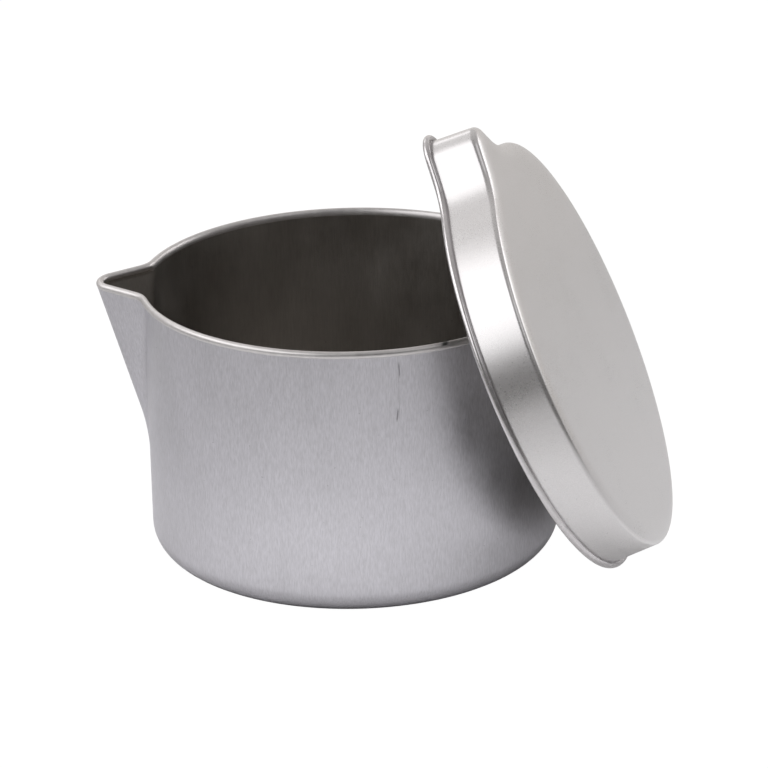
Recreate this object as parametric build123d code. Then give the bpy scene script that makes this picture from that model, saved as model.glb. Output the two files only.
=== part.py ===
from build123d import *
from math import cos, degrees, radians, sin, sqrt
import os

# Candle melting pot: a drawn metal cup with a pouring spout, and its slip-on lid, which leans on the rim.
# Millimetres. The origin is the centre of the cup's flat base, +Z is up, and the spout points along -X.

# The sheet and the rolled edges
SHEET = 0.35
BEAD_RADIUS = 0.7

# The cup
CUP_RADIUS = 38.5
CUP_HEIGHT = 52.0
BASE_FILLET = 5.0

# The spout, seen from above along its bead's centre line: two straight flanks that meet in a round tip
SPOUT_HALF_ANGLE = radians(37)
SPOUT_REACH = 46.6
SPOUT_TIP_RADIUS = 3.8
SPOUT_BLEND_RADIUS = 4.0
SPOUT_APEX_HEIGHT = 21.5
SPOUT_BURIED_DEPTH = 7.0

# The lid
LID_CLEARANCE = 0.1
LID_HEIGHT = 10.45
LID_EDGE_FILLET = 1.6

# How the lid leans: its disc's normal leaves the vertical by the tilt, towards the heading seen from above
LEAN_TILT = radians(65.9)
LEAN_HEADING = radians(-7.5)
LEAN_SIDE_SHIFT = -1.6
LEAN_GAP = 0.12

# Derived sizes
CUP_BORE_RADIUS = CUP_RADIUS - SHEET
BEAD_CENTRE_RADIUS = CUP_BORE_RADIUS + BEAD_RADIUS
BEAD_HEIGHT = CUP_HEIGHT - BEAD_RADIUS
LID_BORE_OFFSET = BEAD_RADIUS + LID_CLEARANCE
LID_SKIRT_OFFSET = LID_BORE_OFFSET + SHEET
LID_BEAD_OFFSET = LID_BORE_OFFSET + BEAD_RADIUS


def flank_normal():
    """The outward normal of the spout's flank on the +Y side, seen from above."""
    return Vector(-sin(SPOUT_HALF_ANGLE), cos(SPOUT_HALF_ANGLE))


def flank_direction():
    """The way that flank runs, from the tip back towards the cup."""
    return Vector(cos(SPOUT_HALF_ANGLE), sin(SPOUT_HALF_ANGLE))


def tip_centre(reach, tip_radius):
    """The centre of the spout's round tip, when the tip's foremost point is at -reach."""
    return Vector(tip_radius - reach, 0)


def blend_centre():
    """The centre of the hollow corner where the flank on the +Y side runs into the round rim."""
    tip = tip_centre(SPOUT_REACH, SPOUT_TIP_RADIUS)
    flank_distance = tip.dot(flank_normal()) + SPOUT_TIP_RADIUS
    across = flank_distance + SPOUT_BLEND_RADIUS
    along = sqrt((BEAD_CENTRE_RADIUS + SPOUT_BLEND_RADIUS) ** 2 - across ** 2)
    return flank_normal() * across - flank_direction() * along


def mirrored(point):
    """The same point on the other side of the spout."""
    return Vector(point.X, -point.Y)


def arc(centre, radius, start, end):
    """The short arc about a centre from one point to another."""
    middle = (start + end) * 0.5 - centre
    return ThreePointArc(start, centre + middle.normalized() * radius, end)


def rim_outline(offset):
    """The rim seen from above, moved outwards by offset from its bead's centre line: one closed wire."""
    corner = blend_centre()
    tip = tip_centre(SPOUT_REACH, SPOUT_TIP_RADIUS)
    radius = BEAD_CENTRE_RADIUS + offset
    on_circle = corner * (radius / corner.length)
    on_corner = corner - flank_normal() * (SPOUT_BLEND_RADIUS - offset)
    on_tip = tip + flank_normal() * (SPOUT_TIP_RADIUS + offset)
    back = Vector(radius, 0)
    side = Vector(0, radius)
    edges = [
        ThreePointArc(back, side, on_circle),
        arc(corner, SPOUT_BLEND_RADIUS - offset, on_circle, on_corner),
        Line(on_corner, on_tip),
        ThreePointArc(on_tip, tip - Vector(SPOUT_TIP_RADIUS + offset, 0), mirrored(on_tip)),
        Line(mirrored(on_tip), mirrored(on_corner)),
        arc(mirrored(corner), SPOUT_BLEND_RADIUS - offset, mirrored(on_corner), mirrored(on_circle)),
        ThreePointArc(mirrored(on_circle), mirrored(side), back),
    ]
    return Wire([edge.edge() for edge in edges])


def bead(offset, height):
    """A rolled edge: a round bead that follows the rim's outline at a height."""
    path = rim_outline(offset).moved(Location((0, 0, height)))
    start = (BEAD_CENTRE_RADIUS + offset, 0, height)
    section = Plane(origin=start, z_dir=(0, 1, 0)) * Circle(BEAD_RADIUS)
    return sweep(section, path=path)


def spout_wedge(inset):
    """The spout's leaning wedge, moved in by inset. Below its apex it carries on, buried in the cup's body."""
    lean = (SPOUT_REACH + BEAD_RADIUS - CUP_RADIUS) / (BEAD_HEIGHT - SPOUT_APEX_HEIGHT)
    depth = BEAD_HEIGHT - SPOUT_APEX_HEIGHT + SPOUT_BURIED_DEPTH
    tip = tip_centre(SPOUT_REACH + BEAD_RADIUS, SPOUT_TIP_RADIUS)
    on_tip = tip + flank_normal() * (SPOUT_TIP_RADIUS - inset)
    root = on_tip + flank_direction() * (CUP_RADIUS / 2)
    outline = Wire([
        ThreePointArc(on_tip, tip - Vector(SPOUT_TIP_RADIUS - inset, 0), mirrored(on_tip)).edge(),
        Line(mirrored(on_tip), mirrored(root)).edge(),
        Line(mirrored(root), root).edge(),
        Line(root, on_tip).edge(),
    ])
    top = Face(outline).moved(Location((0, 0, BEAD_HEIGHT)))
    return extrude(top, depth * sqrt(1 + lean ** 2), dir=(lean, 0, -1))


def cup_body(radius, floor, fillet_radius, wedge_inset):
    """The cup's round body with its spout, as one full solid up to the bead's centre."""
    standing = (Align.CENTER, Align.CENTER, Align.MIN)
    body = Pos(0, 0, floor) * Cylinder(radius, BEAD_HEIGHT - floor, align=standing)
    body = fillet(body.edges().group_by(Axis.Z)[0], fillet_radius)
    return body + spout_wedge(wedge_inset)


def make_pot():
    """The drawn cup: floor, wall, spout and rolled rim in one piece."""
    outside = cup_body(CUP_RADIUS, 0, BASE_FILLET, 0)
    inside = cup_body(CUP_BORE_RADIUS, SHEET, BASE_FILLET - SHEET, SHEET)
    return outside - inside + bead(0, BEAD_HEIGHT)


def lid_block(offset, height, fillet_radius):
    """The lid's full outer or inner shape, standing on its open side."""
    block = extrude(Face(rim_outline(offset)), height)
    return fillet(block.edges().group_by(Axis.Z)[-1], fillet_radius)


def seated_lid():
    """The drawn lid on its open side: disc, skirt, beak over the spout and rolled edge in one piece."""
    outside = lid_block(LID_SKIRT_OFFSET, LID_HEIGHT, LID_EDGE_FILLET)
    inside = lid_block(LID_BORE_OFFSET, LID_HEIGHT - SHEET, LID_EDGE_FILLET - SHEET)
    skirt_start = Pos(0, 0, -BEAD_RADIUS) * Cylinder(2 * CUP_RADIUS, 2 * BEAD_RADIUS)
    return outside - inside - skirt_start + bead(LID_BEAD_OFFSET, BEAD_RADIUS)


def lean_position():
    """Where the centre of the leaning lid's open side is: edge on the ground, disc on the rim."""
    edge_radius = BEAD_CENTRE_RADIUS + LID_BEAD_OFFSET
    height = edge_radius * sin(LEAN_TILT) + BEAD_RADIUS * (1 - cos(LEAN_TILT))
    rim_support = BEAD_CENTRE_RADIUS * sin(LEAN_TILT) + BEAD_HEIGHT * cos(LEAN_TILT) + BEAD_RADIUS
    disc_support = rim_support + LEAN_GAP - (LID_HEIGHT - SHEET)
    forward = (disc_support - height * cos(LEAN_TILT)) / sin(LEAN_TILT)
    heading = Vector(cos(LEAN_HEADING), sin(LEAN_HEADING))
    sideways = Vector(-sin(LEAN_HEADING), cos(LEAN_HEADING))
    return heading * forward + sideways * LEAN_SIDE_SHIFT + Vector(0, 0, height)


def make_lid():
    """The lid in its leaning place."""
    hinge = Axis((0, 0, 0), (-sin(LEAN_HEADING), cos(LEAN_HEADING), 0))
    return seated_lid().rotate(hinge, degrees(LEAN_TILT)).moved(Location(lean_position()))


def main():
    os.makedirs("parts", exist_ok=True)
    export_step(make_pot(), "parts/pot.step")
    export_step(make_lid(), "parts/lid.step")


main()
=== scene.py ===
from math import cos, pi, radians, sin, sqrt

import bmesh
import bpy
import numpy as np
from mathutils import Matrix, Vector


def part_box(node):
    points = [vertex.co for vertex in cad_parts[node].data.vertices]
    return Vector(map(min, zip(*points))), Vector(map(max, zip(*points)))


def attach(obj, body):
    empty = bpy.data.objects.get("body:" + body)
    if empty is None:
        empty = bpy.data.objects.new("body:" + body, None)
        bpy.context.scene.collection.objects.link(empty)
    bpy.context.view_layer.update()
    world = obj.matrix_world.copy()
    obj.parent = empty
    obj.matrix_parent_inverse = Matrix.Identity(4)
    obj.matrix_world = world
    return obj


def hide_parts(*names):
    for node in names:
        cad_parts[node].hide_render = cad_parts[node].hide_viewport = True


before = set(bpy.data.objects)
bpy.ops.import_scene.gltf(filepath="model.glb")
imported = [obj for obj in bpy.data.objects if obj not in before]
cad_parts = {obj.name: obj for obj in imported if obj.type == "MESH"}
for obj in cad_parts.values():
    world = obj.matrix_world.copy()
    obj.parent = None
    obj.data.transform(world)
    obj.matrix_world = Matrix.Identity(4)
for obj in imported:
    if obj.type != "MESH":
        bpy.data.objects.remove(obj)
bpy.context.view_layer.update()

# A candle melting pot of drawn sheet metal, with its lid leaning on the rim. Metres throughout.
MM = 0.001
POT_LOW, POT_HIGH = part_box("pot")

# The sheet, the rolled edges and the cup
SHEET = 0.35 * MM
BEAD = 0.7 * MM
RIM_RADIUS = POT_HIGH.x - BEAD
BEAD_HEIGHT = POT_HIGH.z - BEAD
CUP_RADIUS = RIM_RADIUS - BEAD + SHEET
BASE_FILLET = 5.0 * MM
FLAT_RADIUS = CUP_RADIUS - BASE_FILLET

# The spout: two flanks that meet in a round tip
SPOUT_HALF_ANGLE = radians(37)
SPOUT_REACH = -POT_LOW.x - BEAD
SPOUT_TIP = 3.8 * MM
SPOUT_APEX_HEIGHT = 21.5 * MM
SPOUT_LEAN = (SPOUT_REACH + BEAD - CUP_RADIUS) / (BEAD_HEIGHT - SPOUT_APEX_HEIGHT)
FLANK_END = radians(52)
CREASE_BLEND_TOP = 0.5 * MM
CREASE_BLEND_APEX = 1.6 * MM

# The rolled rim: its blend into the spout, its soft inner shoulder and the fine groove beneath it
RIM_BLEND = 1.6 * MM
RIM_SHOULDER = 1.3 * MM
RIM_GROOVE = 0.2 * MM
RIM_GROOVE_START = 0.05 * MM
RIM_GROOVE_DEPTH = 1.5
GROOVE_SLANT = 0.4

# How the wall's meeting with the bead is found: steps, the share of each step taken, and the furthest out
SEAT_STEPS = 12
SEAT_STEP_SHARE = 0.8
SEAT_FURTHEST = 0.93 * BEAD

# The lid: its skirt, its edge and its slightly crowned disc
LID_HEIGHT = 10.45 * MM
LID_CLEARANCE = 0.1 * MM
LID_SKIRT = BEAD + LID_CLEARANCE + SHEET
LID_BLEND = 3.4 * MM
LID_TAPER = 0.35 * MM
LID_EDGE = 0.9 * MM
LID_BEAK_EDGE = 1.4 * MM
LID_BEAK_SPAN = 0.25
LID_CROWN = 11 * MM
LID_CROWN_TURN = radians(15)

# The gap between the lid's skirt and its rolled edge, which opens at the beak's tip and near the heel.
# The heel is on the far side from the beak. Spans and angles are in radians about the axis.
LID_GROOVE = 0.2 * MM
LID_GROOVE_DEPTH = 1.8
TIP_GAP = 0.6 * MM
TIP_SPAN = 0.1
TIP_FLARE = 0.8 * (TIP_GAP - LID_GROOVE)
HEEL_GAP = 0.5 * MM
HEEL_ANGLE = 2.7
HEEL_SPAN = 0.6

# How the lid leans
LEAN_TILT = radians(65.9)
LEAN_HEADING = radians(-7.5)
LEAN_SIDE_SHIFT = -1.6 * MM
LEAN_GAP = 0.12 * MM

# How finely the skins are divided: columns round the axis, and rings along each stretch.
# Where there are two numbers, they are for the outside and the inside.
SPOUT_SECTOR = radians(22)
SPOUT_COLUMNS = 260
ROUND_COLUMNS = 520
BASE_RINGS = 12
BASE_EDGE_RINGS = (14, 12)
WALL_RINGS = (90, 70)
EDGE_RINGS = 44
DISC_RINGS = 28
CORNER_RINGS = 12
CROWN_RINGS = 7
SKIRT_RINGS = (26, 24)

# The innermost rings' share of the flat's size
CUP_MIDDLE = 0.06
LID_MIDDLE = 0.03

# The camera
CAMERA_AZIMUTH = radians(1.73)
CAMERA_PITCH = radians(21.62)
CAMERA_ROLL = radians(-1.22)
CAMERA_DISTANCE = 0.7512
CAMERA_TARGET = Vector((5.87 * MM, 0, 30.33 * MM))
CAMERA_LENS = 187.5

# The floor, with a painted pool of light round the pot: it glows though it is no lamp. The glow is left out
# in a ring where the pot stands, so that ring is darker. This is painted contact shade over the real shade
# from the floor lights.
FLOOR_HALF_SIDE = 0.7
FLOOR_GREY = 0.8
FLOOR_WHITENING = 0.95
FLOOR_WHITE = 1.05
POOL_CENTRE = (-0.005, -0.038, 0)
POOL_RADIANCE = 0.4
POOL_INNER = 0.03
POOL_OUTER = 0.1
CONTACT_INNER = 0.036
CONTACT_OUTER = 0.045

# The studio round the pot: grey, and brighter one way, given as an azimuth and an elevation in degrees.
# It brightens with the cosine of the angle to that way, between the two limits.
STUDIO_TINT = (1, 0.98, 0.96)
STUDIO_BRIGHT_WAY = (-15, 35)
STUDIO_DIM = 0.16
STUDIO_BRIGHT = 0.72
STUDIO_DIM_FROM = -0.25
STUDIO_BRIGHT_FROM = 0.9
STUDIO_WHITE = (1.1, 1.1, 1.1, 1)
LIGHTS_AIM = Vector((0.01, 0, 0.04))

# The lights: name, azimuth and elevation in degrees, distance, size, radiance and tint
WHITE = (1, 1, 1)
FLOOR_LIGHTS = (
    ("floor_front", 190, 62, 0.5, (0.5, 0.4), 1.25, WHITE),
    ("floor_back", 50, 72, 0.42, (0.3, 0.3), 2.5, (0.96, 0.97, 1)),
)
REFLECTED_LIGHTS = (
    ("window", -114, 36, 0.8, (1.24, 0.62), 1.6, WHITE),
    ("back_box", -31, 34, 0.8, (0.26, 0.24), 1.2, WHITE),
    ("side_wall", -60, 48, 0.9, (0.4, 0.3), 0.3, WHITE),
    ("right_box", 62, 20, 0.8, (0.4, 0.24), 2.0, WHITE),
    ("front_right", 130, 46, 0.9, (0.5, 0.4), 0.8, WHITE),
    ("back_wall", 22, 14, 0.36, (0.8, 0.28), 0.18, (1, 0.93, 0.84)),
)

# The metal: noise scales per metre, and how far the grain is drawn out along each axis
EVEN = (1, 1, 1)
UPRIGHT = (1, 1, 0.18)
UPRIGHT_INSIDE = (1, 1, 0.09)
GRAIN_DEPTH = 0.02 * MM
GRAIN_ROUGHNESS = 0.03
CLOUD_SCALE = 70
CLOUD_STRETCH = (1, 1, 0.6)
SPECK_SCALE = 2200
SPECK_START = 0.86
SPECK_END = 0.9
SPECK_SHADE = 0.7
SIDEWAYS_SPREAD = 0.72

# Marks on the near side: place along X, height, width, length, and the share of colour they leave
WALL_SCRATCHES = (
    (9.8 * MM, 47.8 * MM, 0.2 * MM, 3.4 * MM, 0.5),
    (9.3 * MM, 39.2 * MM, 0.2 * MM, 2.8 * MM, 0.45),
    (9.6 * MM, 44.0 * MM, 0.1 * MM, 16.0 * MM, 0.8),
)
RIM_NICK = ((18.1 * MM, 51.9 * MM, 0.8 * MM, 0.8 * MM, 0.2),)
NEAR_SIDE_FADE = 4 * MM
SCRATCH_WANDER_SCALE = 120


# Outlines, seen from above. An angle is measured about the cup's axis from the spout's middle.

def smooth_max(a, b, width):
    """The larger of two lengths, with the corner between them rounded over a width."""
    return np.maximum(a, b) + np.maximum(width - np.abs(a - b), 0) ** 2 / (4 * width)


def flank_reach(angle, reach, tip):
    """How far the spout's pointed outline is from the cup's axis, at each angle."""
    centre = reach - tip
    turn = np.minimum(np.abs(angle), FLANK_END)
    flank = (centre * sin(SPOUT_HALF_ANGLE) + tip) / np.sin(SPOUT_HALF_ANGLE + turn)
    tip_end = np.arctan2(tip * cos(SPOUT_HALF_ANGLE), centre + tip * sin(SPOUT_HALF_ANGLE))
    past_centre = np.sqrt(np.maximum(tip ** 2 - (centre * np.sin(turn)) ** 2, 0))
    return np.where(turn < tip_end, centre * np.cos(turn) + past_centre, flank)


def circle(angle):
    """Points at each angle, one metre from the axis."""
    return np.stack([-np.cos(angle), -np.sin(angle)], axis=-1)


def outline(angle, radius, reach, tip, blend):
    """The round outline with its spout, as points for each angle."""
    distance = smooth_max(radius, flank_reach(angle, reach, tip), blend)
    return circle(angle) * distance[:, None]


def outward(points):
    """The outward normals of a closed outline."""
    along = np.roll(points, -1, axis=0) - np.roll(points, 1, axis=0)
    normal = np.stack([along[:, 1], -along[:, 0]], axis=-1)
    normal /= np.linalg.norm(normal, axis=1)[:, None]
    side = np.sign(np.sum(normal * points, axis=1))
    return normal * side[:, None]


def column_angles():
    """The angles of the mesh's columns, close together round the spout."""
    near = np.linspace(-SPOUT_SECTOR, SPOUT_SECTOR, SPOUT_COLUMNS, endpoint=False)
    far = np.linspace(SPOUT_SECTOR, 2 * pi - SPOUT_SECTOR, ROUND_COLUMNS, endpoint=False)
    return np.concatenate([near, far])


def angle_from_spout(angle):
    """The same angles, from -pi to pi."""
    return (angle + pi) % (2 * pi) - pi


def polar(points):
    """The angle of each point about the axis, from the spout's middle."""
    return np.arctan2(-points[:, 1], -points[:, 0])


def bell(value, width):
    """One at nought, fading away over a width."""
    return np.exp(-(value / width) ** 2)


def ring(points, height):
    """A closed ring of 3-D points from an outline and its height, or a height for each point."""
    return np.column_stack([points, np.broadcast_to(height, len(points))])


# The cup

def wall_outline(angle, height):
    """The cup's outer wall at a height: round, with the spout's leaning wedge."""
    reach = SPOUT_REACH + BEAD - SPOUT_LEAN * (BEAD_HEIGHT - height)
    rise = np.clip((height - SPOUT_APEX_HEIGHT) / (BEAD_HEIGHT - SPOUT_APEX_HEIGHT), 0, 1)
    blend = CREASE_BLEND_APEX + (CREASE_BLEND_TOP - CREASE_BLEND_APEX) * rise
    return outline(angle, CUP_RADIUS, reach, SPOUT_TIP, blend)


def wall_under_bead(path, normal):
    """Where the wall meets the bead from below: its distance from the bead's centre line, outwards."""
    distance = np.full(len(path), SHEET - BEAD)
    for _ in range(SEAT_STEPS):
        points = path + normal * distance[:, None]
        wall = wall_outline(polar(points), BEAD_HEIGHT - np.sqrt(BEAD ** 2 - distance ** 2))
        distance += SEAT_STEP_SHARE * np.sum((wall - points) * normal, axis=1)
        distance = np.clip(distance, SHEET - BEAD, SEAT_FURTHEST)
    return distance


def cup_base(angle, fillet, height, edge_rings):
    """Rings from the middle of the flat base outwards and round its edge, up to the wall."""
    round_points = circle(angle)
    rings = []
    for radius in np.linspace(CUP_MIDDLE * FLAT_RADIUS, FLAT_RADIUS, BASE_RINGS):
        rings.append(ring(round_points * radius, height))
    for turn in np.linspace(0, pi / 2, edge_rings)[1:]:
        radius = FLAT_RADIUS + fillet * sin(turn)
        rings.append(ring(round_points * radius, height + fillet * (1 - cos(turn))))
    return rings


def cup_rim(path, normal, start, end, shoulder):
    """Rings round the rolled rim, from its outer foot over the top and down its inner shoulder."""
    rings = []
    for part in np.linspace(0, 1, EDGE_RINGS):
        turn = start + (end - start) * part
        points = path + normal * (BEAD * np.cos(turn))[:, None]
        drop = np.where(turn > pi / 2, shoulder, BEAD) * (1 - np.sin(turn))
        rings.append(ring(points, BEAD_HEIGHT + BEAD - drop))
    return rings


def pot_rings():
    """The cup's closed skin in three parts, each a list of rings: outside, rolled rim and inside.

    It runs from the middle of the base up the outside, over the rim, and down the inside.
    """
    path = outline(column_angles(), RIM_RADIUS, SPOUT_REACH, SPOUT_TIP, RIM_BLEND)
    normal = outward(path)
    offset = wall_under_bead(path, normal)
    seat = path + normal * offset[:, None]
    seat_height = BEAD_HEIGHT - np.sqrt(BEAD ** 2 - offset ** 2)
    angle = polar(seat)
    on_round = np.clip(-offset / (BEAD - SHEET), 0, 1)
    groove = RIM_GROOVE * on_round
    shoulder = BEAD + (RIM_SHOULDER - BEAD) * on_round

    outside = cup_base(angle, BASE_FILLET, 0, BASE_EDGE_RINGS[0])
    for part in np.linspace(0, 1, WALL_RINGS[0])[1:-1]:
        height = BASE_FILLET + (seat_height - BASE_FILLET) * part
        outside.append(ring(wall_outline(angle, height), height))
    outside.append(ring(seat, seat_height - RIM_GROOVE_START))
    groove_bottom = seat + normal * (GROOVE_SLANT * groove)[:, None]
    outside.append(ring(groove_bottom, seat_height + RIM_GROOVE_DEPTH * groove))

    start = groove / BEAD - np.arccos(offset / BEAD)
    end = 2 * pi - np.arccos(np.clip((offset - SHEET) / BEAD, -1, 1))
    rim = cup_rim(path, normal, start, end, shoulder)

    inner_top = BEAD_HEIGHT + BEAD - shoulder * (1 - np.sin(end))
    inside = []
    for part in np.linspace(1, 0, WALL_RINGS[1])[1:]:
        height = BASE_FILLET + (inner_top - BASE_FILLET) * part
        wall = wall_outline(angle, height)
        inside.append(ring(wall - outward(wall) * SHEET, height))
    inside += cup_base(angle, BASE_FILLET - SHEET, SHEET, BASE_EDGE_RINGS[1])[-2::-1]
    return outside, rim, inside


# The lid, in its own place: open side down on the ground, beak towards -X

def lid_corner(top, normal, round_edge, thickness):
    """Rings from the skirt's top round the edge and up the gentle crown to the flat disc.

    Also gives the height where the skirt ends, and the outline of the flat disc.
    """
    crown_foot = LID_HEIGHT - LID_CROWN * (1 - cos(LID_CROWN_TURN))
    skirt_top = crown_foot - round_edge * cos(LID_CROWN_TURN)
    tight = round_edge - thickness
    gentle = LID_CROWN - thickness
    rings = []
    for turn in np.linspace(0, pi / 2 - LID_CROWN_TURN, CORNER_RINGS):
        inset = round_edge - tight * cos(turn)
        rings.append(ring(top - normal * inset[:, None], skirt_top + tight * sin(turn)))
    flat_inset = round_edge + (LID_CROWN - round_edge) * sin(LID_CROWN_TURN)
    for turn in np.linspace(LID_CROWN_TURN, 0, CROWN_RINGS)[1:]:
        inset = flat_inset - gentle * sin(turn)
        rings.append(ring(top - normal * inset[:, None], LID_HEIGHT - LID_CROWN + gentle * cos(turn)))
    return rings, skirt_top, top - normal * flat_inset[:, None]


def lid_curl(centre, normal, start):
    """Rings round the lid's rolled edge, from its top over the outside to its foot on the inside."""
    rings = []
    for part in np.linspace(0, 1, EDGE_RINGS):
        turn = start + (-pi - start) * part
        points = centre + normal * (BEAD * np.cos(turn))[:, None]
        rings.append(ring(points, BEAD + BEAD * np.sin(turn)))
    return rings


def lid_rings():
    """The lid's closed skin in three parts, each a list of rings: outside, rolled edge and inside.

    It runs from the middle of the disc down the outside, round the rolled edge, and up the inside.
    """
    angle = column_angles()
    radius, reach, tip_radius = (size + LID_SKIRT for size in (RIM_RADIUS, SPOUT_REACH, SPOUT_TIP))
    skirt = outline(angle, radius, reach, tip_radius, LID_BLEND)
    normal = outward(skirt)
    top = skirt - normal * LID_TAPER
    from_spout = angle_from_spout(angle)
    round_edge = LID_EDGE + (LID_BEAK_EDGE - LID_EDGE) * bell(from_spout, LID_BEAK_SPAN)
    tip = bell(from_spout, TIP_SPAN)
    heel = bell(np.abs(from_spout) - HEEL_ANGLE, HEEL_SPAN)
    groove = LID_GROOVE + (TIP_GAP - LID_GROOVE) * tip + (HEEL_GAP - LID_GROOVE) * heel

    corner, skirt_top, flat = lid_corner(top, normal, round_edge, 0)
    outside = [ring(flat * part, LID_HEIGHT) for part in np.linspace(LID_MIDDLE, 1, DISC_RINGS)]
    outside += corner[-2::-1]
    crease = BEAD + sqrt(BEAD ** 2 - (BEAD - SHEET) ** 2)
    for part in np.linspace(0, 1, SKIRT_RINGS[0])[1:]:
        outside.append(ring(top * (1 - part) + skirt * part, skirt_top * (1 - part) + crease * part))
    groove_bottom = skirt + normal * (GROOVE_SLANT * groove)[:, None]
    outside.append(ring(groove_bottom, crease - LID_GROOVE_DEPTH * groove))

    centre = skirt + normal * (BEAD - SHEET + TIP_FLARE * tip)[:, None]
    edge = lid_curl(centre, normal, 2 * pi / 3 - groove / BEAD)

    inside = []
    for part in np.linspace(0, 1, SKIRT_RINGS[1])[1:-1]:
        wall = skirt * (1 - part) + top * part - normal * SHEET
        inside.append(ring(wall, BEAD * (1 - part) + skirt_top * part))
    inside += lid_corner(top, normal, round_edge, SHEET)[0]
    inside += [ring(flat * part, LID_HEIGHT - SHEET) for part in np.linspace(1, LID_MIDDLE, DISC_RINGS)[1:]]
    return outside, edge, inside


def lean_matrix():
    """Moves the lid from its own place to where it leans: edge on the ground, disc on the rim."""
    edge_radius = RIM_RADIUS + LID_SKIRT + BEAD - SHEET
    height = edge_radius * sin(LEAN_TILT) + BEAD * (1 - cos(LEAN_TILT))
    support = RIM_RADIUS * sin(LEAN_TILT) + BEAD_HEIGHT * cos(LEAN_TILT) + BEAD
    disc = support + LEAN_GAP - (LID_HEIGHT - SHEET)
    forward = (disc - height * cos(LEAN_TILT)) / sin(LEAN_TILT)
    heading = Vector((cos(LEAN_HEADING), sin(LEAN_HEADING), 0))
    sideways = Vector((-sin(LEAN_HEADING), cos(LEAN_HEADING), 0))
    place = heading * forward + sideways * LEAN_SIDE_SHIFT + Vector((0, 0, height))
    return Matrix.Translation(place) @ Matrix.Rotation(LEAN_TILT, 4, sideways)


# Meshes

def skin_faces(rows, count):
    """The faces between rings of points, and the two fans that close the first ring and the last."""
    faces = []
    for row in range(rows - 1):
        low = row * count
        high = low + count
        for column in range(count):
            after = (column + 1) % count
            faces.append((low + column, low + after, high + after, high + column))
    first = rows * count
    top = first - count
    for column in range(count):
        after = (column + 1) % count
        faces.append((first, after, column))
        faces.append((first + 1, top + column, top + after))
    return faces


def skin(name, parts, materials, matrix=Matrix.Identity(4)):
    """A smooth closed mesh from the rings of its parts, in order: outside, rolled edge, inside.

    Each part has its own material. The mesh keeps its own-place coordinates as an attribute.
    """
    rings = [each for part in parts for each in part]
    count = len(rings[0])
    middles = [rings[0].mean(axis=0), rings[-1].mean(axis=0)]
    vertices = np.vstack(rings + middles)
    mesh = bpy.data.meshes.new(name)
    mesh.from_pydata(vertices.tolist(), [], skin_faces(len(rings), count))
    for material in materials:
        mesh.materials.append(material)
    edge_start = (len(parts[0]) - 1) * count
    inside_start = edge_start + len(parts[1]) * count
    for face in mesh.polygons:
        lowest = min(face.vertices)
        face.material_index = int(lowest >= edge_start) + int(lowest >= inside_start)
    own_place = mesh.attributes.new("own_place", "FLOAT_VECTOR", "POINT")
    own_place.data.foreach_set("vector", vertices.astype(np.float32).ravel())
    mesh.transform(matrix)
    mesh.shade_smooth()
    point_outwards(mesh)
    piece = bpy.data.objects.new(name, mesh)
    bpy.context.scene.collection.objects.link(piece)
    return piece


def point_outwards(mesh):
    """Turns the faces round if the closed mesh is inside out."""
    work = bmesh.new()
    work.from_mesh(mesh)
    if work.calc_volume(signed=True) < 0:
        bmesh.ops.reverse_faces(work, faces=work.faces)
    work.to_mesh(mesh)
    work.free()


# Shader building blocks. The first argument is the material, or the world, that owns the nodes.

def add_node(material, kind, **values):
    """A shader node, with plain values on its sockets."""
    node = material.node_tree.nodes.new(kind)
    for name, value in values.items():
        node.inputs[name.replace("_", " ")].default_value = value
    return node


def join(material, output, target):
    """Links one node's output to another's input."""
    material.node_tree.links.new(output, target)


def own_place_of(material):
    """The piece's own-place coordinates, which move with it."""
    place = add_node(material, "ShaderNodeAttribute")
    place.attribute_name = "own_place"
    return place.outputs["Vector"]


def place_noise(material, stretch, scale, detail=2.0, roughness=0.5):
    """Noise in the piece's own place, squeezed or drawn out along each axis. Scale is per metre."""
    mapping = add_node(material, "ShaderNodeMapping", Scale=stretch)
    join(material, own_place_of(material), mapping.inputs["Vector"])
    noise = add_node(material, "ShaderNodeTexNoise", Scale=scale, Detail=detail, Roughness=roughness)
    join(material, mapping.outputs[0], noise.inputs["Vector"])
    return noise.outputs["Fac"]


def spread(material, value, low, high, start=0.3, end=0.7):
    """A value from start to end, mapped to run from low to high."""
    node = add_node(material, "ShaderNodeMapRange")
    join(material, value, node.inputs["Value"])
    node.inputs["From Min"].default_value = start
    node.inputs["From Max"].default_value = end
    node.inputs["To Min"].default_value = low
    node.inputs["To Max"].default_value = high
    return node.outputs["Result"]


def combine(material, operation, first, second=0):
    """Two values, or a value and a number, put together by a Math operation."""
    node = add_node(material, "ShaderNodeMath")
    node.operation = operation
    join(material, first, node.inputs[0])
    if isinstance(second, (int, float)):
        node.inputs[1].default_value = second
    else:
        join(material, second, node.inputs[1])
    return node.outputs[0]


def tinted(material, color, factor):
    """One colour, made lighter or darker by a factor."""
    node = add_node(material, "ShaderNodeMix")
    node.data_type = "RGBA"
    node.blend_type = "MULTIPLY"
    node.inputs["Factor"].default_value = 1
    color_input, factor_input, result = node.inputs[6], node.inputs[7], node.outputs[2]
    color_input.default_value = (*color, 1)
    join(material, factor, factor_input)
    return result


def bumped(material, height, distance, strength):
    """A surface normal that follows a height."""
    node = add_node(material, "ShaderNodeBump", Strength=strength, Distance=distance)
    join(material, height, node.inputs["Height"])
    return node.outputs["Normal"]


# The metal

def new_metal(name):
    """A plain metal material, and its shader."""
    material = bpy.data.materials.new(name)
    material.use_nodes = True
    shader = material.node_tree.nodes["Principled BSDF"]
    shader.inputs["Metallic"].default_value = 1
    return material, shader


def band(material, value, centre, half_width, softness):
    """One where a value is near a centre, fading to nought over the softness."""
    off = combine(material, "ABSOLUTE", combine(material, "SUBTRACT", value, centre))
    return spread(material, off, 1, 0, start=half_width, end=half_width + softness)


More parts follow.
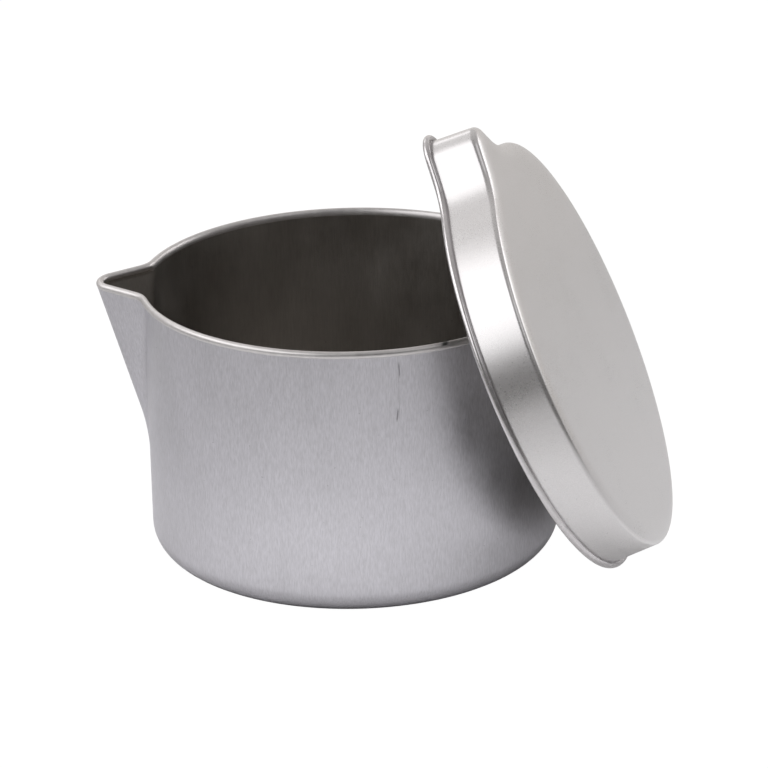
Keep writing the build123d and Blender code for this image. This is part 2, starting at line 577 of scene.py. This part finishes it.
def scratch(material, place, across, height, width, length, keep):
    """A thin upright scratch on the -Y side, as a factor that leaves the metal a share of its colour."""
    wander = place_noise(material, EVEN, SCRATCH_WANDER_SCALE)
    line = combine(material, "ADD", place["X"], spread(material, wander, -width, width))
    across_mark = band(material, line, across, width * 0.3, width * 0.6)
    along_mark = band(material, place["Z"], height, length * 0.25, length * 0.25)
    mark = combine(material, "MULTIPLY", across_mark, along_mark)
    near_side = spread(material, place["Y"], 1, 0, start=-NEAR_SIDE_FADE, end=0)
    mark = combine(material, "MULTIPLY", mark, near_side)
    return spread(material, mark, 1, keep, start=0, end=1)


def scratched(material, shade, marks):
    """The shade with scratches laid over it."""
    place = add_node(material, "ShaderNodeSeparateXYZ")
    join(material, own_place_of(material), place.inputs[0])
    for mark in marks:
        shade = combine(material, "MULTIPLY", shade, scratch(material, place.outputs, *mark))
    return shade


def drawn_metal(name, color, roughness, grain, grain_scale, cloud, relief=0.1, contrast=0.06, marks=()):
    """Satin sheet with the fine grain that drawing leaves, soft clouds, specks and light wear."""
    material, shader = new_metal(name)
    lines = place_noise(material, grain, grain_scale, detail=2, roughness=0.6)
    clouds = place_noise(material, CLOUD_STRETCH, CLOUD_SCALE, detail=4)
    specks = place_noise(material, EVEN, SPECK_SCALE, detail=0)
    shade = combine(material, "MULTIPLY", spread(material, lines, 1 - contrast, 1 + contrast),
                    spread(material, clouds, 1 - cloud, 1 + cloud))
    dark = spread(material, specks, 1, SPECK_SHADE, start=SPECK_START, end=SPECK_END)
    shade = combine(material, "MULTIPLY", shade, dark)
    if marks:
        shade = scratched(material, shade, marks)
    join(material, tinted(material, color, shade), shader.inputs["Base Color"])
    rough = combine(material, "ADD", spread(material, clouds, -cloud, cloud),
                    spread(material, lines, -GRAIN_ROUGHNESS, GRAIN_ROUGHNESS))
    join(material, combine(material, "ADD", rough, roughness), shader.inputs["Roughness"])
    join(material, bumped(material, lines, GRAIN_DEPTH, relief), shader.inputs["Normal"])
    return material


def grain_round(material, amount):
    """Spreads the highlights sideways round the cup, as upright grain does."""
    shader = material.node_tree.nodes["Principled BSDF"]
    shader.inputs["Anisotropic"].default_value = amount
    tangent = add_node(material, "ShaderNodeTangent")
    tangent.direction_type = "RADIAL"
    tangent.axis = "Z"
    join(material, tangent.outputs[0], shader.inputs["Tangent"])


# The pieces

def pot_materials():
    """The cup's metal: satin outside, rolled rim, and the inside, whose darker colour is painted shade."""
    outside = drawn_metal("pot_satin", (0.555, 0.545, 0.58), 0.38, UPRIGHT, 4000, cloud=0.08,
                          relief=0.35, contrast=0.11, marks=WALL_SCRATCHES)
    grain_round(outside, SIDEWAYS_SPREAD)
    rim = drawn_metal("pot_rolled", (0.60, 0.58, 0.58), 0.42, EVEN, 700, cloud=0.04, marks=RIM_NICK)
    # Painted shade: the inside gets a darker colour than the outside, for the shade inside the cup.
    inside = drawn_metal("pot_inside_painted_shade", (0.41, 0.39, 0.37), 0.38, UPRIGHT_INSIDE, 3200, cloud=0.08, relief=0.3)
    return outside, rim, inside


def lid_materials():
    """The lid's metal: satin outside, rolled edge, and the rougher inside, whose darker colour is painted
    shade.
    """
    outside = drawn_metal("lid_satin", (0.65, 0.635, 0.64), 0.3, EVEN, 5000, cloud=0.02)
    edge = drawn_metal("lid_rolled", (0.60, 0.58, 0.59), 0.24, EVEN, 700, cloud=0.02)
    # Painted shade: the lid's inside gets a darker colour, for the shade under the leaning lid.
    inside = drawn_metal("lid_inside_painted_shade", (0.43, 0.415, 0.40), 0.36, EVEN, 3000, cloud=0.04)
    return outside, edge, inside


pot = skin("pot_shell", pot_rings(), pot_materials())
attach(pot, "pot")
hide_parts("pot")

lid = skin("lid_shell", lid_rings(), lid_materials(), lean_matrix())
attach(lid, "lid")
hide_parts("lid")


# The stage

def make_camera():
    """The camera, in front of the pot and a little above it."""
    turn = Matrix.Rotation(CAMERA_AZIMUTH, 4, "Z")
    forward = Vector((0, cos(CAMERA_PITCH), -sin(CAMERA_PITCH)))
    place = turn @ (CAMERA_TARGET - forward * CAMERA_DISTANCE)
    data = bpy.data.cameras.new("camera")
    data.lens = CAMERA_LENS
    data.sensor_width = 36
    data.clip_start = 0.01
    camera = bpy.data.objects.new("camera", data)
    look = (turn @ forward).to_track_quat("-Z", "Y").to_matrix().to_4x4()
    camera.matrix_world = Matrix.Translation(place) @ look @ Matrix.Rotation(CAMERA_ROLL, 4, "Z")
    bpy.context.scene.collection.objects.link(camera)
    bpy.context.scene.camera = camera


def away_from(material, centre):
    """How far a point of the floor is from a centre."""
    place = add_node(material, "ShaderNodeTexCoord")
    away = add_node(material, "ShaderNodeVectorMath")
    away.operation = "DISTANCE"
    away.inputs[1].default_value = centre
    join(material, place.outputs["Object"], away.inputs[0])
    return away.outputs["Value"]


def whitened(owner, grey, white, factor):
    """A plain white mixed into a grey surface by a factor."""
    mix = add_node(owner, "ShaderNodeMixShader")
    join(owner, factor, mix.inputs[0])
    join(owner, grey.outputs[0], mix.inputs[1])
    join(owner, white.outputs[0], mix.inputs[2])
    return mix.outputs[0]


def seen_directly(owner):
    """One for what is seen directly, and nought for what a reflection or the lighting sees."""
    return add_node(owner, "ShaderNodeLightPath").outputs["Is Camera Ray"]


def floor_material():
    """Pale grey, lit by the floor lights, with a painted pool of light glowing round the pot but not at its
    foot, and almost white where it is seen directly.
    """
    material = bpy.data.materials.new("floor_pale")
    material.use_nodes = True
    shader = material.node_tree.nodes["Principled BSDF"]
    shader.inputs["Base Color"].default_value = (FLOOR_GREY, FLOOR_GREY, FLOOR_GREY, 1)
    shader.inputs["Roughness"].default_value = 1
    shader.inputs["Specular IOR Level"].default_value = 0
    shader.inputs["Emission Color"].default_value = (1, 1, 1, 1)
    # Painted light: the floor glows in a pool round the pot, and the glow is left out at the pot's foot as
    # painted contact shade.
    from_pool = away_from(material, POOL_CENTRE)
    painted_pool = spread(material, from_pool, POOL_RADIANCE, 0, start=POOL_INNER, end=POOL_OUTER)
    pool_off_foot = spread(material, away_from(material, (0, 0, 0)), 0, 1, start=CONTACT_INNER, end=CONTACT_OUTER)
    join(material, combine(material, "MULTIPLY", painted_pool, pool_off_foot), shader.inputs["Emission Strength"])
    white = add_node(material, "ShaderNodeEmission", Color=(1, 1, 1, 1), Strength=FLOOR_WHITE)
    factor = combine(material, "MULTIPLY", seen_directly(material), FLOOR_WHITENING)
    surface = material.node_tree.nodes["Material Output"].inputs["Surface"]
    join(material, whitened(material, shader, white, factor), surface)
    return material


def make_floor():
    """A pale flat floor."""
    mesh = bpy.data.meshes.new("floor")
    side = FLOOR_HALF_SIDE
    corners = [(-side, -side, 0), (side, -side, 0), (side, side, 0), (-side, side, 0)]
    mesh.from_pydata(corners, [], [(0, 1, 2, 3)])
    mesh.materials.append(floor_material())
    floor = bpy.data.objects.new("floor", mesh)
    bpy.context.scene.collection.objects.link(floor)


def direction(azimuth, elevation):
    """The way from the pot towards an azimuth and elevation in degrees. Azimuth 0 is behind the pot."""
    azimuth, elevation = radians(azimuth), radians(elevation)
    return Vector((sin(azimuth) * cos(elevation), cos(azimuth) * cos(elevation), sin(elevation)))


def make_softbox(name, azimuth, elevation, distance, size, radiance, tint, reflected):
    """A soft light that looks at the pot: one that the metal reflects, or one that lights the floor."""
    data = bpy.data.lights.new(name, "AREA")
    data.shape = "RECTANGLE"
    data.size, data.size_y = size
    data.energy = radiance * pi * size[0] * size[1]
    data.color = tint
    light = bpy.data.objects.new(name, data)
    way = direction(azimuth, elevation)
    light.location = LIGHTS_AIM + way * distance
    light.rotation_euler = (-way).to_track_quat("-Z", "Y").to_euler()
    light.visible_camera = False
    light.visible_glossy = reflected
    light.visible_diffuse = not reflected
    bpy.context.scene.collection.objects.link(light)


def make_world():
    """A grey studio, brighter behind the pot than in front, and white where it is seen directly."""
    world = bpy.data.worlds.new("studio")
    world.use_nodes = True
    background = world.node_tree.nodes["Background"]
    background.inputs["Color"].default_value = (*STUDIO_TINT, 1)
    place = add_node(world, "ShaderNodeTexCoord")
    toward = add_node(world, "ShaderNodeVectorMath")
    toward.operation = "DOT_PRODUCT"
    toward.inputs[1].default_value = direction(*STUDIO_BRIGHT_WAY)
    join(world, place.outputs["Generated"], toward.inputs[0])
    strength = spread(world, toward.outputs["Value"], STUDIO_DIM, STUDIO_BRIGHT,
                      start=STUDIO_DIM_FROM, end=STUDIO_BRIGHT_FROM)
    join(world, strength, background.inputs["Strength"])
    white = add_node(world, "ShaderNodeBackground", Color=STUDIO_WHITE)
    surface = world.node_tree.nodes["World Output"].inputs["Surface"]
    join(world, whitened(world, background, white, seen_directly(world)), surface)
    bpy.context.scene.world = world


make_camera()
make_floor()
for light in FLOOR_LIGHTS:
    make_softbox(*light, reflected=False)
for light in REFLECTED_LIGHTS:
    make_softbox(*light, reflected=True)
make_world()
bpy.context.scene.view_settings.view_transform = "Standard"
